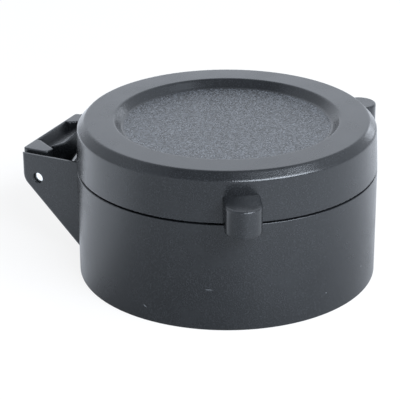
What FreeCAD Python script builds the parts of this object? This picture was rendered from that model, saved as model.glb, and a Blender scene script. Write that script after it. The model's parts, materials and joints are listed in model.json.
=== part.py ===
# Flip-up lens cap: a sleeve that slides over a lens barrel, and a hinged lid held by a pin and a spring.
# Units are millimetres. The origin is the centre of the sleeve's lower face, +Z is up along the sleeve,
# and +Y points at the hinge, so the hinge pin lies along X.
import FreeCAD
import Part
import math
import os

from FreeCAD import Vector

# Sleeve
barrel_bore_r = 21.0
sleeve_wall = 1.95
sleeve_height = 16.7
lip_reach = 1.4
lip_thickness = 1.5
rim_edge_round = 0.12

# Lid
seam_gap = 0.25
lid_height = 7.44
lid_draft = 0.29
lid_wall = 1.8
lid_roof = 1.6
lid_chamfer_width = 1.13
lid_chamfer_height = 1.19
lid_edge_round = 0.35
lid_rim_round = 0.15
top_ring_width = 4.38
recess_depth = 1.2
recess_slope_width = 1.15
spigot_wall = 1.2
spigot_depth = 1.0
spigot_clearance = 0.6

# Finger tabs on the lid
tab_half_width = 2.65
tab_reach = 5.6
tab_height = 4.15
tab_edge_round = 0.25
tab_spacing_deg = 120.0

# Hinge ears on the sleeve
hinge_reach = 5.15
hinge_drop = 3.8
hinge_half_width = 9.5
ear_thickness = 1.0
ear_top_width = 0.45
ear_reach = 2.75
ear_corner_round = 2.4
ear_edge_round = 0.6
gusset_cover = 2.4
gusset_deg = 45.5

# Hinge pin
pin_r = 0.86
pin_press_gap = 0.02
pin_running_gap = 0.05
pin_recess = 0.55
pin_end_chamfer = 0.12

# Hinge block of the lid
block_side_gap = 0.2
spring_room = 7.2
arm_width = 1.8
knuckle_r = 2.35
web_reach = 1.6
web_height = 3.3
tray_floor = 0.55
heel_reach = 3.15
heel_rise = 0.35
heel_ridge = 0.25
heel_foot = 0.9
heel_round = 0.12
pad_width = 3.9
pad_length = 4.45
pad_end_width = 1.65
pad_wall = 0.9
pad_outer_round = 0.5
pad_end_round = 0.9

# Torsion spring
wire_d = 0.5
coil_gap = 0.06
coil_pin_gap = 0.3
coil_roof_gap = 0.5
coil_side_gap = 0.4
body_leg_deg = 160.0
lid_leg_deg = 175.0
leg_wall_gap = 0.3

# Places that follow from the sizes above
sleeve_outer_r = barrel_bore_r + sleeve_wall
lip_inner_r = barrel_bore_r - lip_reach
lid_outer_r = sleeve_outer_r
lid_bottom = sleeve_height + seam_gap
lid_top = lid_bottom + lid_height
recess_floor_z = lid_top - recess_depth
roof_under_z = recess_floor_z - lid_roof
lid_inner_r = lid_outer_r - lid_wall
chamfer_foot_r = lid_outer_r - lid_draft
top_face_r = chamfer_foot_r - lid_chamfer_width
recess_rim_r = top_face_r - top_ring_width
spigot_outer_r = lip_inner_r - spigot_clearance
spigot_inner_r = spigot_outer_r - spigot_wall
spigot_end_z = sleeve_height - spigot_depth
lip_under_z = sleeve_height - lip_thickness
pin_y = sleeve_outer_r + hinge_reach
pin_z = sleeve_height - hinge_drop
ear_inner_x = hinge_half_width - ear_thickness
ear_outer_y = pin_y + ear_reach
block_outer_x = ear_inner_x - block_side_gap
arm_inner_x = spring_room / 2
arm_outer_x = arm_inner_x + arm_width
heel_outer_y = pin_y + heel_reach
heel_top = sleeve_height + heel_rise
coil_r = pin_r + coil_pin_gap + wire_d / 2
coil_pitch = wire_d + coil_gap
tray_under_z = pin_z + coil_r + wire_d / 2 + coil_roof_gap
tray_floor_z = tray_under_z + tray_floor


def rounded_wire(corners):
    """Closed wire in the XZ plane through (x, z, corner radius) points, with arcs at rounded corners."""
    count = len(corners)
    starts = []
    ends = []
    arcs = []
    for i in range(count):
        x, z, radius = corners[i]
        here = Vector(x, 0, z)
        before = Vector(corners[i - 1][0], 0, corners[i - 1][1]) - here
        after = Vector(corners[(i + 1) % count][0], 0, corners[(i + 1) % count][1]) - here
        before.normalize()
        after.normalize()
        if radius == 0:
            starts.append(here)
            ends.append(here)
            arcs.append(None)
            continue
        half = before.getAngle(after) / 2
        setback = radius / math.tan(half)
        middle = before + after
        middle.normalize()
        centre = here + middle * (radius / math.sin(half))
        starts.append(here + before * setback)
        ends.append(here + after * setback)
        arcs.append(centre - middle * radius)
    edges = []
    for i in range(count):
        if arcs[i] is not None:
            edges.append(Part.Arc(starts[i], arcs[i], ends[i]).toShape())
        edges.append(Part.makeLine(ends[i], starts[(i + 1) % count]))
    return Part.Wire(edges)


def turned(corners):
    """Solid of revolution about Z of a rounded profile."""
    return Part.Face(rounded_wire(corners)).revolve(Vector(0, 0, 0), Vector(0, 0, 1), 360)


def across(corners, x0, x1):
    """Solid between the planes x0 and x1 of a rounded outline given as (y, z, corner radius) points."""
    face = Part.Face(rounded_wire(corners))
    face.rotate(Vector(0, 0, 0), Vector(0, 0, 1), 90)
    face.translate(Vector(x0, 0, 0))
    return face.extrude(Vector(x1 - x0, 0, 0))


def upright(corners, z0, z1):
    """Solid between the planes z0 and z1 of a rounded outline given as (x, y, corner radius) points."""
    face = Part.Face(rounded_wire(corners))
    face.rotate(Vector(0, 0, 0), Vector(1, 0, 0), -90)
    face.translate(Vector(0, 0, z0))
    return face.extrude(Vector(0, 0, z1 - z0))


def along_hinge(radius, x0, x1):
    """Cylinder on the hinge axis between two planes across it."""
    return Part.makeCylinder(radius, x1 - x0, Vector(x0, pin_y, pin_z), Vector(1, 0, 0))


def around_pin(radius, degrees):
    """Point in the YZ plane at an angle round the pin, counted from +Y towards +Z."""
    turn = math.radians(degrees)
    return Vector(0, pin_y + radius * math.cos(turn), pin_z + radius * math.sin(turn))


def edges_where(shape, test):
    """The edges of a shape that pass a test."""
    return [edge for edge in shape.Edges if test(edge)]


def both_sides(shape):
    """A piece of the hinge and its twin on the other side of the middle."""
    return [shape, shape.mirror(Vector(0, 0, 0), Vector(1, 0, 0))]


def ear_outline(root_y):
    """Side view of an ear: flat top, upright outer edge, round corner and a straight gusset to the root."""
    turn = math.radians(gusset_deg)

    def gusset_z(y):
        return pin_z + (y - pin_y) * math.tan(turn) - gusset_cover / math.cos(turn)

    return [
        (root_y, sleeve_height, 0),
        (root_y, gusset_z(root_y), 0),
        (ear_outer_y, gusset_z(ear_outer_y), ear_corner_round),
        (ear_outer_y, sleeve_height, 0),
    ]


def hinge_ear():
    """One ear: a plate with a rounded rim and a narrow top that falls away inwards, drilled for the pin."""
    wall_middle_r = (sleeve_outer_r + barrel_bore_r) / 2
    root_y = math.sqrt(wall_middle_r ** 2 - ear_inner_x ** 2)
    ear = across(ear_outline(root_y), ear_inner_x, hinge_half_width)
    rim = edges_where(ear, lambda edge: edge.BoundBox.XMin > hinge_half_width - ear_edge_round / 2
                      and edge.BoundBox.YMax > root_y + ear_edge_round
                      and edge.BoundBox.ZMin < sleeve_height - ear_edge_round)
    ear = ear.makeFillet(ear_edge_round, rim)
    inner_top = edges_where(ear, lambda edge: edge.BoundBox.XMax < ear_inner_x + ear_edge_round / 2
                            and edge.BoundBox.ZMin > sleeve_height - ear_edge_round / 2)
    ear = ear.makeChamfer(ear_thickness - ear_top_width, inner_top)
    return ear.cut(along_hinge(pin_r + pin_press_gap, ear_inner_x, hinge_half_width))


def sleeve():
    """Plain tube with a stop lip at the lid end and the two hinge ears."""
    tube = turned([
        (barrel_bore_r, 0, 0),
        (sleeve_outer_r, 0, rim_edge_round),
        (sleeve_outer_r, sleeve_height, rim_edge_round),
        (lip_inner_r, sleeve_height, rim_edge_round),
        (lip_inner_r, lip_under_z, 0),
        (barrel_bore_r, lip_under_z, 0),
    ])
    return tube.fuse(both_sides(hinge_ear())).removeSplitter()


def lid_shell():
    """Round lid: a chamfered cup, hollow below, with a dished recess on top and a plug ring inside."""
    return turned([
        (0, recess_floor_z, 0),
        (recess_rim_r - recess_slope_width, recess_floor_z, lid_rim_round),
        (recess_rim_r, lid_top, lid_rim_round),
        (top_face_r, lid_top, lid_rim_round),
        (chamfer_foot_r, lid_top - lid_chamfer_height, lid_edge_round),
        (lid_outer_r, lid_bottom, rim_edge_round),
        (lid_inner_r, lid_bottom, rim_edge_round),
        (lid_inner_r, roof_under_z, 0),
        (spigot_outer_r, roof_under_z, 0),
        (spigot_outer_r, spigot_end_z, spigot_wall / 3),
        (spigot_inner_r, spigot_end_z, spigot_wall / 3),
        (spigot_inner_r, roof_under_z, 0),
        (0, roof_under_z, 0),
    ])


def finger_tab(azimuth_deg):
    """Flat tongue with a round end, standing out of the lid's skirt from its lower edge."""
    root_r = lid_outer_r - lid_wall / 2
    round_r = lid_outer_r + tab_reach - tab_half_width
    corner = Vector(root_r, -tab_half_width, lid_bottom)
    straight = Part.makeBox(round_r - root_r, 2 * tab_half_width, tab_height, corner)
    nose = Part.makeCylinder(tab_half_width, tab_height, Vector(round_r, 0, lid_bottom))
    tab = straight.fuse(nose).removeSplitter()
    rims = edges_where(tab, lambda edge: edge.BoundBox.ZLength < tab_edge_round
                       and edge.BoundBox.XMax > root_r + tab_edge_round)
    tab = tab.makeFillet(tab_edge_round, rims)
    tab.rotate(Vector(0, 0, 0), Vector(0, 0, 1), azimuth_deg)
    return tab


def hinge_web():
    """Wedge along the skirt that carries the hinge arms and the tray."""
    root_y = math.sqrt((lid_outer_r - lid_wall / 2) ** 2 - arm_outer_x ** 2)
    return across([
        (root_y, lid_bottom, 0),
        (lid_outer_r + web_reach, lid_bottom, 0),
        (lid_outer_r, lid_bottom + web_height, 0),
        (root_y, lid_bottom + web_height, 0),
    ], -arm_outer_x, arm_outer_x)


def hinge_arm():
    """One arm: a neck from the web down to the pin, and a round knuckle from there to the ear."""
    neck = across([
        (lid_outer_r, lid_bottom, 0),
        (pin_y - knuckle_r, pin_z, 0),
        (pin_y, pin_z + knuckle_r, 0),
        (lid_outer_r, lid_bottom + web_height, 0),
    ], arm_inner_x, arm_outer_x)
    return neck.fuse(along_hinge(knuckle_r, arm_inner_x, block_outer_x))


def corner_pad():
    """Upright block on a knuckle, in the corner of the ear and the heel, with a slanting inner side."""
    inner_x = block_outer_x - pad_width
    end_y = heel_outer_y - pad_length
    pad = upright([
        (inner_x, heel_outer_y, 0),
        (block_outer_x, heel_outer_y, pad_outer_round),
        (block_outer_x, end_y, pad_end_round),
        (block_outer_x - pad_end_width, end_y, 0),
        (inner_x, heel_outer_y - pad_wall, 0),
    ], pin_z, heel_top)
    rim = edges_where(pad, lambda edge: edge.BoundBox.ZMin > heel_top - heel_round)
    return pad.makeFillet(heel_round, rim)


def hinge_tray():
    """Wedge between the arms, over the spring: its top falls from the web to the foot of the heel."""
    web_middle_y = lid_outer_r + web_reach / 2
    return across([
        (web_middle_y, lid_bottom, 0),
        (pin_y - knuckle_r, tray_under_z, 0),
        (heel_outer_y, tray_under_z, 0),
        (heel_outer_y, tray_floor_z, 0),
        (heel_outer_y - heel_foot, tray_floor_z, 0),
        (web_middle_y, lid_bottom + web_height / 2, 0),
    ], -arm_outer_x, arm_outer_x)


def hinge_heel():
    """Ridge behind the pin from pad to pad: upright outside, with a steep inner face down to the tray."""
    end_x = block_outer_x - pad_outer_round
    return across([
        (heel_outer_y - heel_foot, tray_under_z, 0),
        (heel_outer_y, tray_under_z, 0),
        (heel_outer_y, heel_top, heel_round),
        (heel_outer_y - heel_ridge, heel_top, 0),
        (heel_outer_y - heel_foot, tray_floor_z, 0),
    ], -end_x, end_x)


def lid():
    """The lid in one piece: shell, finger tabs, and the hinge block with its web, arms, pads and heel."""
    hinge_deg = 90.0
    tabs = [finger_tab(hinge_deg + side * tab_spacing_deg) for side in (-1, 1)]
    block = [hinge_web(), hinge_tray(), hinge_heel()] + both_sides(hinge_arm()) + both_sides(corner_pad())
    body = lid_shell().fuse(tabs + block)
    body = body.cut(along_hinge(pin_r + pin_running_gap, -block_outer_x, block_outer_x))
    return body.removeSplitter()


def hinge_pin():
    """Straight steel pin, pressed into the ears a little below their faces."""
    half = hinge_half_width - pin_recess
    pin = along_hinge(pin_r, -half, half)
    return pin.makeChamfer(pin_end_chamfer, edges_where(pin, lambda edge: edge.BoundBox.XLength < pin_r))


def coil_stretch(start_deg, start_x, turns):
    """Stretch of the coil's centre line, from an angle round the pin and a place along it."""
    stretch = Part.makeHelix(coil_pitch, turns * coil_pitch, coil_r)
    stretch.rotate(Vector(0, 0, 0), Vector(1, 1, 1), 120)
    stretch.rotate(Vector(0, 0, 0), Vector(1, 0, 0), start_deg)
    stretch.translate(Vector(start_x, pin_y, pin_z))
    return stretch.Edges


def torsion_spring():
    """Wire coil round the pin in half turns, with a leg on the sleeve and one under the lid's tray."""
    start_deg = body_leg_deg + 90
    end_deg = lid_leg_deg - 90 + 360
    part_turn = (end_deg - start_deg) / 360
    room = 2 * (arm_inner_x - coil_side_gap) - wire_d
    turns = math.floor(room / coil_pitch - part_turn) + part_turn
    length = turns * coil_pitch
    stretches = math.ceil(2 * turns)
    share = turns / stretches
    coil = []
    for i in range(stretches):
        coil += coil_stretch(start_deg + 360 * share * i, coil_pitch * share * i - length / 2, share)
    first = around_pin(coil_r, start_deg) - Vector(length / 2, 0, 0)
    last = around_pin(coil_r, end_deg) + Vector(length / 2, 0, 0)
    rise = coil_pitch / (2 * math.pi * coil_r)
    body_turn = math.radians(body_leg_deg)
    lid_turn = math.radians(lid_leg_deg)
    body_way = Vector(-rise, math.cos(body_turn), math.sin(body_turn))
    lid_way = Vector(rise, math.cos(lid_turn), math.sin(lid_turn))
    end_y = sleeve_outer_r + wire_d / 2 + leg_wall_gap
    body_end = first + body_way * ((end_y - first.y) / body_way.y)
    lid_end = last + lid_way * ((end_y - last.y) / lid_way.y)
    path = Part.Wire([Part.makeLine(body_end, first)] + coil + [Part.makeLine(last, lid_end)])
    section = Part.Wire(Part.makeCircle(wire_d / 2, body_end, body_way))
    return path.makePipeShell([section], True, False)


os.makedirs("parts", exist_ok=True)
for name, shape in {
    "sleeve": sleeve(),
    "lid": lid(),
    "hinge_pin": hinge_pin(),
    "torsion_spring": torsion_spring(),
}.items():
    shape.exportStep("parts/" + name + ".step")
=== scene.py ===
import json
import math

import bpy
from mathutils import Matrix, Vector


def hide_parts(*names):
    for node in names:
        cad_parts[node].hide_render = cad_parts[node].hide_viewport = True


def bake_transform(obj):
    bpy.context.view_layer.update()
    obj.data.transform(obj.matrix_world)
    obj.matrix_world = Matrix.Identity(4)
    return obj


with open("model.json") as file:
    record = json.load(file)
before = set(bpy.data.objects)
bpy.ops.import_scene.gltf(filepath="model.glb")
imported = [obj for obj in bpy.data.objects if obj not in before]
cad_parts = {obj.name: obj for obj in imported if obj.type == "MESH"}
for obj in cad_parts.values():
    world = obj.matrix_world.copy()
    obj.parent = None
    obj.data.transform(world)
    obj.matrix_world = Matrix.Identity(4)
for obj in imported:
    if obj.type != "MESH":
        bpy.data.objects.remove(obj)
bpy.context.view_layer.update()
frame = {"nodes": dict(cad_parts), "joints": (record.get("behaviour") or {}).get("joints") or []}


# Sleeve
# A plain tube that slides over the lens barrel, with the two hinge ears on one side. It is one
# moulding of nylon filled with carbon black, from a finely spark-eroded mould, and it has a few
# nicks from use.
body_dark = "141517"
body_light = "1D1F21"
scuff_and_highlight_colour = "55595E"
nick_colour = "75797C"
skin_tint = "F9FDFF"
nylon_ior = 1.53
skin_roughness = (0.19, 0.30)
cloud_mm = 5.0
sleeve_edge_mm = 0.12
corner_mm = 0.8
chip_mm = 0.40
chip_height_mm = 0.10
# A real eroded grain is about 0.05 mm wide. It is drawn coarser, because that is too fine to show.
fine_grain_mm = 0.20
fine_grain_height_mm = 0.014
fine_scuff = 0.14
# Each nick: its centre and half sizes in mm, and its tilt in degrees.
sleeve_nicks = [
    ((-22.8, 2.6, 2.3), (0.6, 0.40, 0.08), (35, 0, 0)),
    ((-1.6, -22.9, 4.6), (0.14, 0.6, 0.13), (0, 0, 0)),
    ((-10.0, -20.65, 3.5), (0.12, 0.6, 0.09), (0, 0, 0)),
    ((-21.8, -7.3, 6.5), (0.6, 0.70, 0.05), (0, 0, 18)),
]


def linear(hex_colour):
    """The linear RGBA of an sRGB colour written as six hex digits."""
    channels = []
    for i in (0, 2, 4):
        c = int(hex_colour[i:i + 2], 16) / 255
        channels.append(c / 12.92 if c <= 0.04045 else ((c + 0.055) / 1.055) ** 2.4)
    return (*channels, 1.0)


def add_node(tree, kind, inputs=None, **settings):
    """Adds a shader node, sets its properties, and sets or links its inputs."""
    node = tree.nodes.new(kind)
    for name, value in settings.items():
        setattr(node, name, value)
    for name, value in (inputs or {}).items():
        if isinstance(value, bpy.types.NodeSocket):
            tree.links.new(value, node.inputs[name])
        else:
            node.inputs[name].default_value = value
    return node


def new_material(name):
    """An empty node material and its tree."""
    material = bpy.data.materials.new(name)
    material.use_nodes = True
    material.node_tree.nodes.clear()
    return material, material.node_tree


def nick_mask(tree, place, centre_mm, half_mm, tilt_deg):
    """One inside a small tilted lens shape on the surface, and zero outside it."""
    spot = add_node(tree, "ShaderNodeMapping", {
        "Vector": place,
        "Location": [c / 1000 for c in centre_mm],
        "Rotation": [math.radians(a) for a in tilt_deg],
        "Scale": [h / 1000 for h in half_mm]}, vector_type="TEXTURE")
    reach = add_node(tree, "ShaderNodeVectorMath", {
        0: spot.outputs["Vector"]}, operation="LENGTH")
    return add_node(tree, "ShaderNodeMapRange", {
        "Value": reach.outputs["Value"], "From Min": 1.0, "From Max": 0.4}).outputs["Result"]


def carbon_black_nylon(name, grain, edge_mm, nicks=()):
    """Moulded nylon with carbon black: nearly black, with a satin skin that mirrors pale
    surroundings more and more as it turns away from the eye. The tops of its grain are scuffed a
    little greyer, its outer edges are painted greyer as wear and as a painted highlight, and the
    edges are finely chipped."""
    material, tree = new_material(name)
    place = add_node(tree, "ShaderNodeTexCoord").outputs["Object"]
    height_mm, scuff = grain(tree, place)

    # Only outer edges are rounded: the corners between two walls stay sharp and dark.
    flat_way = add_node(tree, "ShaderNodeNewGeometry").outputs["Normal"]
    round_edge = add_node(tree, "ShaderNodeBevel", {"Radius": edge_mm / 1000}, samples=8)
    open_air = add_node(tree, "ShaderNodeAmbientOcclusion", {
        "Distance": corner_mm / 1000}, samples=8)
    outer = add_node(tree, "ShaderNodeMapRange", {
        "Value": open_air.outputs["AO"], "From Min": 0.75, "From Max": 0.95})
    way = add_node(tree, "ShaderNodeMix", {
        "Factor": outer.outputs["Result"],
        "A": flat_way, "B": round_edge.outputs["Normal"]}, data_type="VECTOR")
    bend = add_node(tree, "ShaderNodeVectorMath", {
        0: way.outputs["Result"], 1: flat_way}, operation="DOT_PRODUCT")

    clouds = add_node(tree, "ShaderNodeTexNoise", {
        "Vector": place, "Scale": 1000 / cloud_mm, "Detail": 5.0})
    body = add_node(tree, "ShaderNodeMix", {
        "Factor": clouds.outputs["Fac"],
        "A": linear(body_dark), "B": linear(body_light)}, data_type="RGBA")
    # Outer edges are painted greyer: partly wear, partly a painted highlight along the edges.
    worn_and_highlit_edge = add_node(tree, "ShaderNodeMapRange", {
        "Value": bend.outputs["Value"], "From Min": 0.99, "From Max": 0.85,
        "To Min": 0.0, "To Max": 0.35})
    scuff_and_edge_highlight = add_node(tree, "ShaderNodeMath", {
        0: scuff, 1: worn_and_highlit_edge.outputs["Result"]}, operation="MAXIMUM")
    colour = add_node(tree, "ShaderNodeMix", {
        "Factor": scuff_and_edge_highlight.outputs["Value"],
        "A": body.outputs["Result"], "B": linear(scuff_and_highlight_colour)}, data_type="RGBA")
    for centre_mm, half_mm, tilt_deg in nicks:
        colour = add_node(tree, "ShaderNodeMix", {
            "Factor": nick_mask(tree, place, centre_mm, half_mm, tilt_deg),
            "A": colour.outputs["Result"], "B": linear(nick_colour)}, data_type="RGBA")

    handled = add_node(tree, "ShaderNodeMapRange", {
        "Value": clouds.outputs["Fac"], "From Min": 0.3, "From Max": 0.7,
        "To Min": skin_roughness[0], "To Max": skin_roughness[1]})
    chips = add_node(tree, "ShaderNodeTexNoise", {
        "Vector": place, "Scale": 1000 / chip_mm, "Detail": 2.0})
    chip_depth = add_node(tree, "ShaderNodeMapRange", {
        "Value": bend.outputs["Value"], "From Min": 0.995, "From Max": 0.93,
        "To Min": 0.0, "To Max": chip_height_mm})
    relief = add_node(tree, "ShaderNodeMath", {
        0: chips.outputs["Fac"], 1: chip_depth.outputs["Result"], 2: height_mm},
        operation="MULTIPLY_ADD")
    # The relief is in mm, so one unit of its height is a thousandth of a metre.
    bump = add_node(tree, "ShaderNodeBump", {
        "Strength": 1.0, "Distance": 0.001,
        "Height": relief.outputs["Value"], "Normal": way.outputs["Result"]})
    shader = add_node(tree, "ShaderNodeBsdfPrincipled", {
        "Base Color": colour.outputs["Result"], "Roughness": handled.outputs["Result"],
        "IOR": nylon_ior, "Specular Tint": linear(skin_tint), "Normal": bump.outputs["Normal"]})
    add_node(tree, "ShaderNodeOutputMaterial", {"Surface": shader.outputs["BSDF"]})
    return material


def fine_grain(tree, place):
    """Height in mm of the fine spark-eroded grain, and how far its tops are scuffed."""
    noise = add_node(tree, "ShaderNodeTexNoise", {
        "Vector": place, "Scale": 1000 / fine_grain_mm, "Detail": 1.0})
    height = add_node(tree, "ShaderNodeMath", {
        0: noise.outputs["Fac"], 1: fine_grain_height_mm}, operation="MULTIPLY")
    scuff = add_node(tree, "ShaderNodeMapRange", {
        "Value": noise.outputs["Fac"], "From Min": 0.5, "From Max": 0.75,
        "To Min": 0.0, "To Max": fine_scuff})
    return height.outputs["Value"], scuff.outputs["Result"]


def dress(node_name, material):
    """Gives a CAD node its finish."""
    mesh = frame["nodes"][node_name].data
    mesh.materials.clear()
    mesh.materials.append(material)


dress("sleeve", carbon_black_nylon(
    "carbon_black_nylon_sleeve", fine_grain, sleeve_edge_mm, sleeve_nicks))


# Lid
# A chamfered cup with a dished top, two finger tabs and the hinge block, in one moulding of the
# same nylon. Its ring comes from smooth turned steel, and the floor of the dish from a coarsely
# eroded face.
lid_edge_mm = 0.5
dish_radius_mm = 15.7
dish_floor_mm = 23.19
ring_top_mm = 24.39
# The dish's real grain is about 0.1 mm wide. It is drawn coarser, because that is too fine to show.
dish_grain_mm = 0.22
dish_grain_height_mm = 0.13
ring_grain_share = 0.05


def lid_grain(tree, place):
    """The lid's grain in mm and its scuffing: coarse in the dish, fine on the skirt, and almost
    none on the ring."""
    skirt_height, skirt_scuff = fine_grain(tree, place)
    noise = add_node(tree, "ShaderNodeTexNoise", {
        "Vector": place, "Scale": 1000 / dish_grain_mm, "Detail": 2.0})
    pits = add_node(tree, "ShaderNodeMath", {
        0: noise.outputs["Fac"], 1: dish_grain_height_mm}, operation="MULTIPLY")
    tops = add_node(tree, "ShaderNodeMapRange", {
        "Value": noise.outputs["Fac"], "From Min": 0.46, "From Max": 0.56})

    part = add_node(tree, "ShaderNodeSeparateXYZ", {"Vector": place})
    flat = add_node(tree, "ShaderNodeCombineXYZ", {
        "X": part.outputs["X"], "Y": part.outputs["Y"]})
    radius = add_node(tree, "ShaderNodeVectorMath", {
        0: flat.outputs["Vector"]}, operation="LENGTH")
    inside = add_node(tree, "ShaderNodeMath", {
        0: radius.outputs["Value"], 1: dish_radius_mm / 1000}, operation="LESS_THAN")
    above = add_node(tree, "ShaderNodeMath", {
        0: part.outputs["Z"], 1: (dish_floor_mm - 0.1) / 1000}, operation="GREATER_THAN")
    in_dish = add_node(tree, "ShaderNodeMath", {
        0: inside.outputs["Value"], 1: above.outputs["Value"]}, operation="MULTIPLY")
    skin = add_node(tree, "ShaderNodeMapRange", {
        "Value": part.outputs["Z"],
        "From Min": (ring_top_mm - 0.25) / 1000, "From Max": (ring_top_mm - 0.05) / 1000,
        "To Min": 1.0, "To Max": ring_grain_share})

    smooth_height = add_node(tree, "ShaderNodeMath", {
        0: skirt_height, 1: skin.outputs["Result"]}, operation="MULTIPLY")
    smooth_scuff = add_node(tree, "ShaderNodeMath", {
        0: skirt_scuff, 1: skin.outputs["Result"]}, operation="MULTIPLY")
    height = add_node(tree, "ShaderNodeMix", {
        "Factor": in_dish.outputs["Value"],
        "A": smooth_height.outputs["Value"], "B": pits.outputs["Value"]})
    scuff = add_node(tree, "ShaderNodeMix", {
        "Factor": in_dish.outputs["Value"],
        "A": smooth_scuff.outputs["Value"], "B": tops.outputs["Result"]})
    return height.outputs["Result"], scuff.outputs["Result"]


dress("lid", carbon_black_nylon("carbon_black_nylon_lid", lid_grain, lid_edge_mm))


# Hinge pin
# A straight pin of bright drawn steel, cut to length and pressed into the ears, a little below
# their faces. Only its two round ends show while the lid is shut.
steel_dark = "E4E8E9"
steel_light = "F6F8F8"
drawing_mark_mm = 0.12
mark_stretch = 10
pin_roughness = (0.12, 0.25)


def drawn_steel(name, roughness):
    """Bright drawn steel: a clear metal with faint lengthwise drawing marks that blur its
    reflections."""
    material, tree = new_material(name)
    place = add_node(tree, "ShaderNodeTexCoord").outputs["Object"]
    along = add_node(tree, "ShaderNodeMapping", {
        "Vector": place, "Scale": (1 / mark_stretch, 1.0, 1.0)})
    marks = add_node(tree, "ShaderNodeTexNoise", {
        "Vector": along.outputs["Vector"], "Scale": 1000 / drawing_mark_mm, "Detail": 3.0})
    rough = add_node(tree, "ShaderNodeMapRange", {
        "Value": marks.outputs["Fac"], "To Min": roughness[0], "To Max": roughness[1]})
    tint = add_node(tree, "ShaderNodeMix", {
        "Factor": marks.outputs["Fac"],
        "A": linear(steel_dark), "B": linear(steel_light)}, data_type="RGBA")
    shader = add_node(tree, "ShaderNodeBsdfPrincipled", {
        "Base Color": tint.outputs["Result"], "Metallic": 1.0,
        "Roughness": rough.outputs["Result"]})
    add_node(tree, "ShaderNodeOutputMaterial", {"Surface": shader.outputs["BSDF"]})
    return material


dress("hinge_pin", drawn_steel("bright_drawn_steel_pin", pin_roughness))


# Torsion spring
# A coil of drawn spring wire round the pin, under the tray of the hinge block. One leg bears on
# the sleeve and the other lifts the tray, so the coil winds with the lid.
wire_r = 0.25 / 1000
coil_r = 1.41 / 1000
coil_pitch = 0.56 / 1000
coil_turns = 9
body_leg_deg = 160.0
lid_leg_deg = 175.0
leg_end_y = 23.5 / 1000
points_a_turn = 28
wire_sides = 10
wire_roughness = (0.25, 0.4)
hinge_centre = Vector(frame["joints"][0]["pos_m"])


def spring_path():
    """The wire's centre line: the sleeve's leg, the coil along X, and the lid's leg. Half the
    coil's length comes with it."""
    start = math.radians(body_leg_deg + 90)
    end = math.radians(lid_leg_deg - 90 + 360 * (coil_turns + 1))
    half = coil_pitch * (end - start) / (2 * math.pi) / 2
    steps = round(points_a_turn * (end - start) / (2 * math.pi))
    coil = []
    for i in range(steps + 1):
        turn = start + (end - start) * i / steps
        across = -half + 2 * half * i / steps
        around = Vector((across, coil_r * math.cos(turn), coil_r * math.sin(turn)))
        coil.append(hinge_centre + around)
    legs = []
    for point, degrees, side in ((coil[0], body_leg_deg, -1), (coil[-1], lid_leg_deg, 1)):
        rise = side * coil_pitch / (2 * math.pi * coil_r)
        way = Vector((rise, math.cos(math.radians(degrees)), math.sin(math.radians(degrees))))
        legs.append(point + way * ((leg_end_y - point.y) / way.y))
    return [legs[0]] + coil + [legs[1]], half


def wire_mesh(name, line, radius, sides):
    """A round wire along a line of points, closed at both ends."""
    verts = []
    faces = []
    side_way = Vector((1, 0, 0))
    for i, point in enumerate(line):
        ahead = (line[min(i + 1, len(line) - 1)] - line[max(i - 1, 0)]).normalized()
        side_way = (side_way - ahead * side_way.dot(ahead)).normalized()
        other = ahead.cross(side_way)
        for k in range(sides):
            turn = 2 * math.pi * k / sides
            verts.append(point + (side_way * math.cos(turn) + other * math.sin(turn)) * radius)
        if i:
            last = (i - 1) * sides
            here = i * sides
            for k in range(sides):
                after = (k + 1) % sides
                faces.append([last + k, last + after, here + after, here + k])
    faces.append(list(range(sides))[::-1])
    faces.append([len(verts) - sides + k for k in range(sides)])
    mesh = bpy.data.meshes.new(name)
    mesh.from_pydata(verts, [], faces)
    for polygon in mesh.polygons:
        polygon.use_smooth = len(polygon.vertices) == 4
    piece = bpy.data.objects.new(name, mesh)
    bpy.context.scene.collection.objects.link(piece)
    return piece


spring_line, spring_half = spring_path()
spring = wire_mesh("wound_spring", spring_line, wire_r, wire_sides)
spring.data.materials.append(drawn_steel("drawn_spring_wire", wire_roughness))
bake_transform(spring)
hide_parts("torsion_spring")


# Camera
# It stands where the photograph was taken from, a little above the table and with a long lens.
# The lens and the shift put the cap at its place in the photograph's frame.
camera_distance = 0.260
camera_elevation = math.radians(23.345)
camera_azimuth = math.radians(294.9)
aim_height = 0.012
photo_side = 400
focal_pixels = 1685.8
aim_pixel = (227.0, 191.5)

towards_camera = Vector((math.sin(camera_azimuth), -math.cos(camera_azimuth), 0))
to_the_right = Vector((-towards_camera.y, towards_camera.x, 0))


def studio_way(bearing_deg, elevation_deg):
    """A direction from the cap. Bearings are counted from the camera towards the picture's right."""
    bearing = math.radians(bearing_deg)
    elevation = math.radians(elevation_deg)
    level_way = towards_camera * math.cos(bearing) + to_the_right * math.sin(bearing)
    return level_way * math.cos(elevation) + Vector((0, 0, math.sin(elevation)))


back = towards_camera * math.cos(camera_elevation) + Vector((0, 0, math.sin(camera_elevation)))
camera_data = bpy.data.cameras.new("camera")
camera_data.sensor_width = 36.0
camera_data.lens = focal_pixels * camera_data.sensor_width / photo_side
camera_data.shift_x = (photo_side / 2 - aim_pixel[0]) / photo_side
camera_data.shift_y = (aim_pixel[1] - photo_side / 2) / photo_side
camera_data.clip_start = 0.01
camera = bpy.data.objects.new("camera", camera_data)
bpy.context.scene.collection.objects.link(camera)
camera.location = Vector((0, 0, aim_height)) + back * camera_distance
camera.rotation_mode = "QUATERNION"
camera.rotation_quaternion = (-back).to_track_quat("-Z", "Y")
bpy.context.scene.camera = camera
bpy.context.scene.view_settings.view_transform = "Standard"
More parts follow.
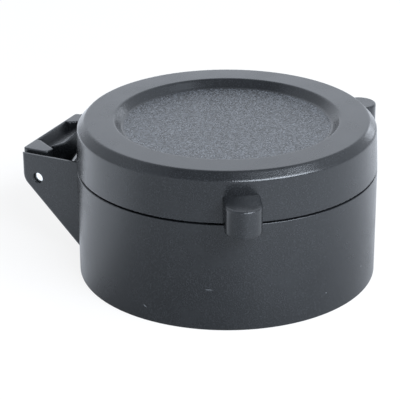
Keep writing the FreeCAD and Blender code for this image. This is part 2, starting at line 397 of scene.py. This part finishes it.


# Floor
# A wide sheet of white card under the cap, which keeps the cap's faint shadow. It is white to the
# eye. In reflections it has painted light and shade: painted dim in front of the cap, a painted
# shadow close to it, and painted brighter to the sides and behind, as a table lit from there would
# be.
card_colour = "F6F7F7"
plain_white = "FFFFFF"
cool_white = "EFF5FF"
floor_half = 3.0
floor_glow_share = 0.84
dim_bearing_deg = -29
dim_core_deg = 14
dim_edge_deg = 51
dim_level = 0.76
bright_level = 1.75
left_share = 1.08
right_share = 0.87
ramp_half = 0.045
shade_from = 0.024
shade_to = 0.065
shade_level = 0.5


def white_card():
    """Matt white card, mostly lit from within for the eye and for reflections, so that it reads
    as white. In reflections that glow carries painted light and shade."""
    material, tree = new_material("white_card")
    path = add_node(tree, "ShaderNodeLightPath")
    shiny = add_node(tree, "ShaderNodeMath", {
        0: path.outputs["Is Glossy Ray"], 1: path.outputs["Is Transmission Ray"]},
        operation="MAXIMUM")
    seen = add_node(tree, "ShaderNodeMath", {
        0: path.outputs["Is Camera Ray"], 1: shiny.outputs["Value"]}, operation="MAXIMUM")
    share = add_node(tree, "ShaderNodeMath", {
        0: seen.outputs["Value"], 1: floor_glow_share}, operation="MULTIPLY")

    # The reflected glow is painted by place: painted dim in front of the cap, painted brighter to
    # the sides and behind, and a painted shadow near the cap.
    place = add_node(tree, "ShaderNodeNewGeometry").outputs["Position"]
    bearing = add_node(tree, "ShaderNodeVectorMath", {0: place}, operation="NORMALIZE")
    towards_dim = add_node(tree, "ShaderNodeVectorMath", {
        0: bearing.outputs["Vector"], 1: studio_way(dim_bearing_deg, 0)},
        operation="DOT_PRODUCT")
    painted_dim_sector = add_node(tree, "ShaderNodeMapRange", {
        "Value": towards_dim.outputs["Value"],
        "From Min": math.cos(math.radians(dim_edge_deg)),
        "From Max": math.cos(math.radians(dim_core_deg)),
        "To Min": bright_level, "To Max": dim_level}, interpolation_type="SMOOTHSTEP")
    across = add_node(tree, "ShaderNodeVectorMath", {
        0: place, 1: to_the_right}, operation="DOT_PRODUCT")
    ramp = add_node(tree, "ShaderNodeMapRange", {
        "Value": across.outputs["Value"], "From Min": -ramp_half, "From Max": ramp_half,
        "To Min": left_share, "To Max": right_share})
    sided = add_node(tree, "ShaderNodeMath", {
        0: painted_dim_sector.outputs["Result"], 1: ramp.outputs["Result"]}, operation="MULTIPLY")
    distance = add_node(tree, "ShaderNodeVectorMath", {0: place}, operation="LENGTH")
    shade = add_node(tree, "ShaderNodeMapRange", {
        "Value": distance.outputs["Value"], "From Min": shade_from, "From Max": shade_to,
        "To Min": shade_level, "To Max": 1.0})
    painted_reflection_level = add_node(tree, "ShaderNodeMath", {
        0: sided.outputs["Value"], 1: shade.outputs["Result"]}, operation="MULTIPLY")

    level = add_node(tree, "ShaderNodeMix", {
        "Factor": shiny.outputs["Value"], "A": 1.0, "B": painted_reflection_level.outputs["Value"]})
    tint = add_node(tree, "ShaderNodeMix", {
        "Factor": shiny.outputs["Value"],
        "A": linear(plain_white), "B": linear(cool_white)}, data_type="RGBA")
    paper = add_node(tree, "ShaderNodeBsdfDiffuse", {"Color": linear(card_colour)})
    glow = add_node(tree, "ShaderNodeEmission", {
        "Color": tint.outputs["Result"], "Strength": level.outputs["Result"]})
    mixed = add_node(tree, "ShaderNodeMixShader", {
        0: share.outputs["Value"], 1: paper.outputs["BSDF"], 2: glow.outputs["Emission"]})
    add_node(tree, "ShaderNodeOutputMaterial", {"Surface": mixed.outputs["Shader"]})
    return material


floor_mesh = bpy.data.meshes.new("floor")
floor_mesh.from_pydata([
    (-floor_half, -floor_half, 0), (floor_half, -floor_half, 0),
    (floor_half, floor_half, 0), (-floor_half, floor_half, 0)], [], [(0, 1, 2, 3)])
floor = bpy.data.objects.new("floor", floor_mesh)
bpy.context.scene.collection.objects.link(floor)
floor_mesh.materials.append(white_card())


# Studio air
# White walls all round, which the top mirrors, and a dark ceiling above the camera.
# The ceiling keeps the front of the chamfer and the far side of the dish dark.
fill_strength = 0.5
ceiling_elevation_deg = 65
ceiling_core_deg = 24
ceiling_edge_deg = 55
ceiling_level = 0.27

world = bpy.data.worlds.new("studio")
bpy.context.scene.world = world
world.use_nodes = True
air = world.node_tree
air.nodes.clear()
ray_way = add_node(air, "ShaderNodeTexCoord").outputs["Generated"]
nearness = add_node(air, "ShaderNodeVectorMath", {
    0: ray_way, 1: studio_way(0, ceiling_elevation_deg)}, operation="DOT_PRODUCT")
walls = add_node(air, "ShaderNodeMapRange", {
    "Value": nearness.outputs["Value"],
    "From Min": math.cos(math.radians(ceiling_edge_deg)),
    "From Max": math.cos(math.radians(ceiling_core_deg)),
    "To Min": 1.0, "To Max": ceiling_level}, interpolation_type="SMOOTHSTEP")
air_path = add_node(air, "ShaderNodeLightPath")
air_shiny = add_node(air, "ShaderNodeMath", {
    0: air_path.outputs["Is Glossy Ray"], 1: air_path.outputs["Is Transmission Ray"]},
    operation="MAXIMUM")
air_level = add_node(air, "ShaderNodeMix", {
    "Factor": air_shiny.outputs["Value"], "A": fill_strength, "B": walls.outputs["Result"]})
air_strength = add_node(air, "ShaderNodeMath", {
    0: air_level.outputs["Result"], 1: air_path.outputs["Is Camera Ray"]}, operation="MAXIMUM")
air_tint = add_node(air, "ShaderNodeMix", {
    "Factor": air_path.outputs["Is Camera Ray"],
    "A": linear(cool_white), "B": linear(plain_white)}, data_type="RGBA")
backdrop = add_node(air, "ShaderNodeBackground", {
    "Color": air_tint.outputs["Result"], "Strength": air_strength.outputs["Value"]})
add_node(air, "ShaderNodeOutputWorld", {"Surface": backdrop.outputs["Background"]})


# Lamps
# Soft boxes round the cap: a wide one behind it that the top mirrors, a strip to the right that
# draws the bright crescent on the chamfer, and a small one over the camera's shoulder that picks
# out the edges.
def soft_box(name, bearing_deg, elevation_deg, distance, width, height, radiance):
    """An area lamp that faces the cap, with its size in metres."""
    way = studio_way(bearing_deg, elevation_deg)
    data = bpy.data.lights.new(name, "AREA")
    data.shape = "RECTANGLE"
    data.size = width
    data.size_y = height
    data.energy = math.pi * width * height * radiance
    data.color = linear(cool_white)[:3]
    lamp = bpy.data.objects.new(name, data)
    bpy.context.scene.collection.objects.link(lamp)
    lamp.location = Vector((0, 0, aim_height)) + way * distance
    lamp.rotation_mode = "QUATERNION"
    lamp.rotation_quaternion = (-way).to_track_quat("-Z", "Y")
    lamp.visible_camera = False


soft_box("back_box", 186, 26, distance=0.80, width=1.10, height=0.60, radiance=0.54)
soft_box("right_strip", 143, 11, distance=0.60, width=0.10, height=0.12, radiance=4.4)
soft_box("shoulder_box", 41, 40, distance=0.60, width=0.54, height=0.20, radiance=18.0)
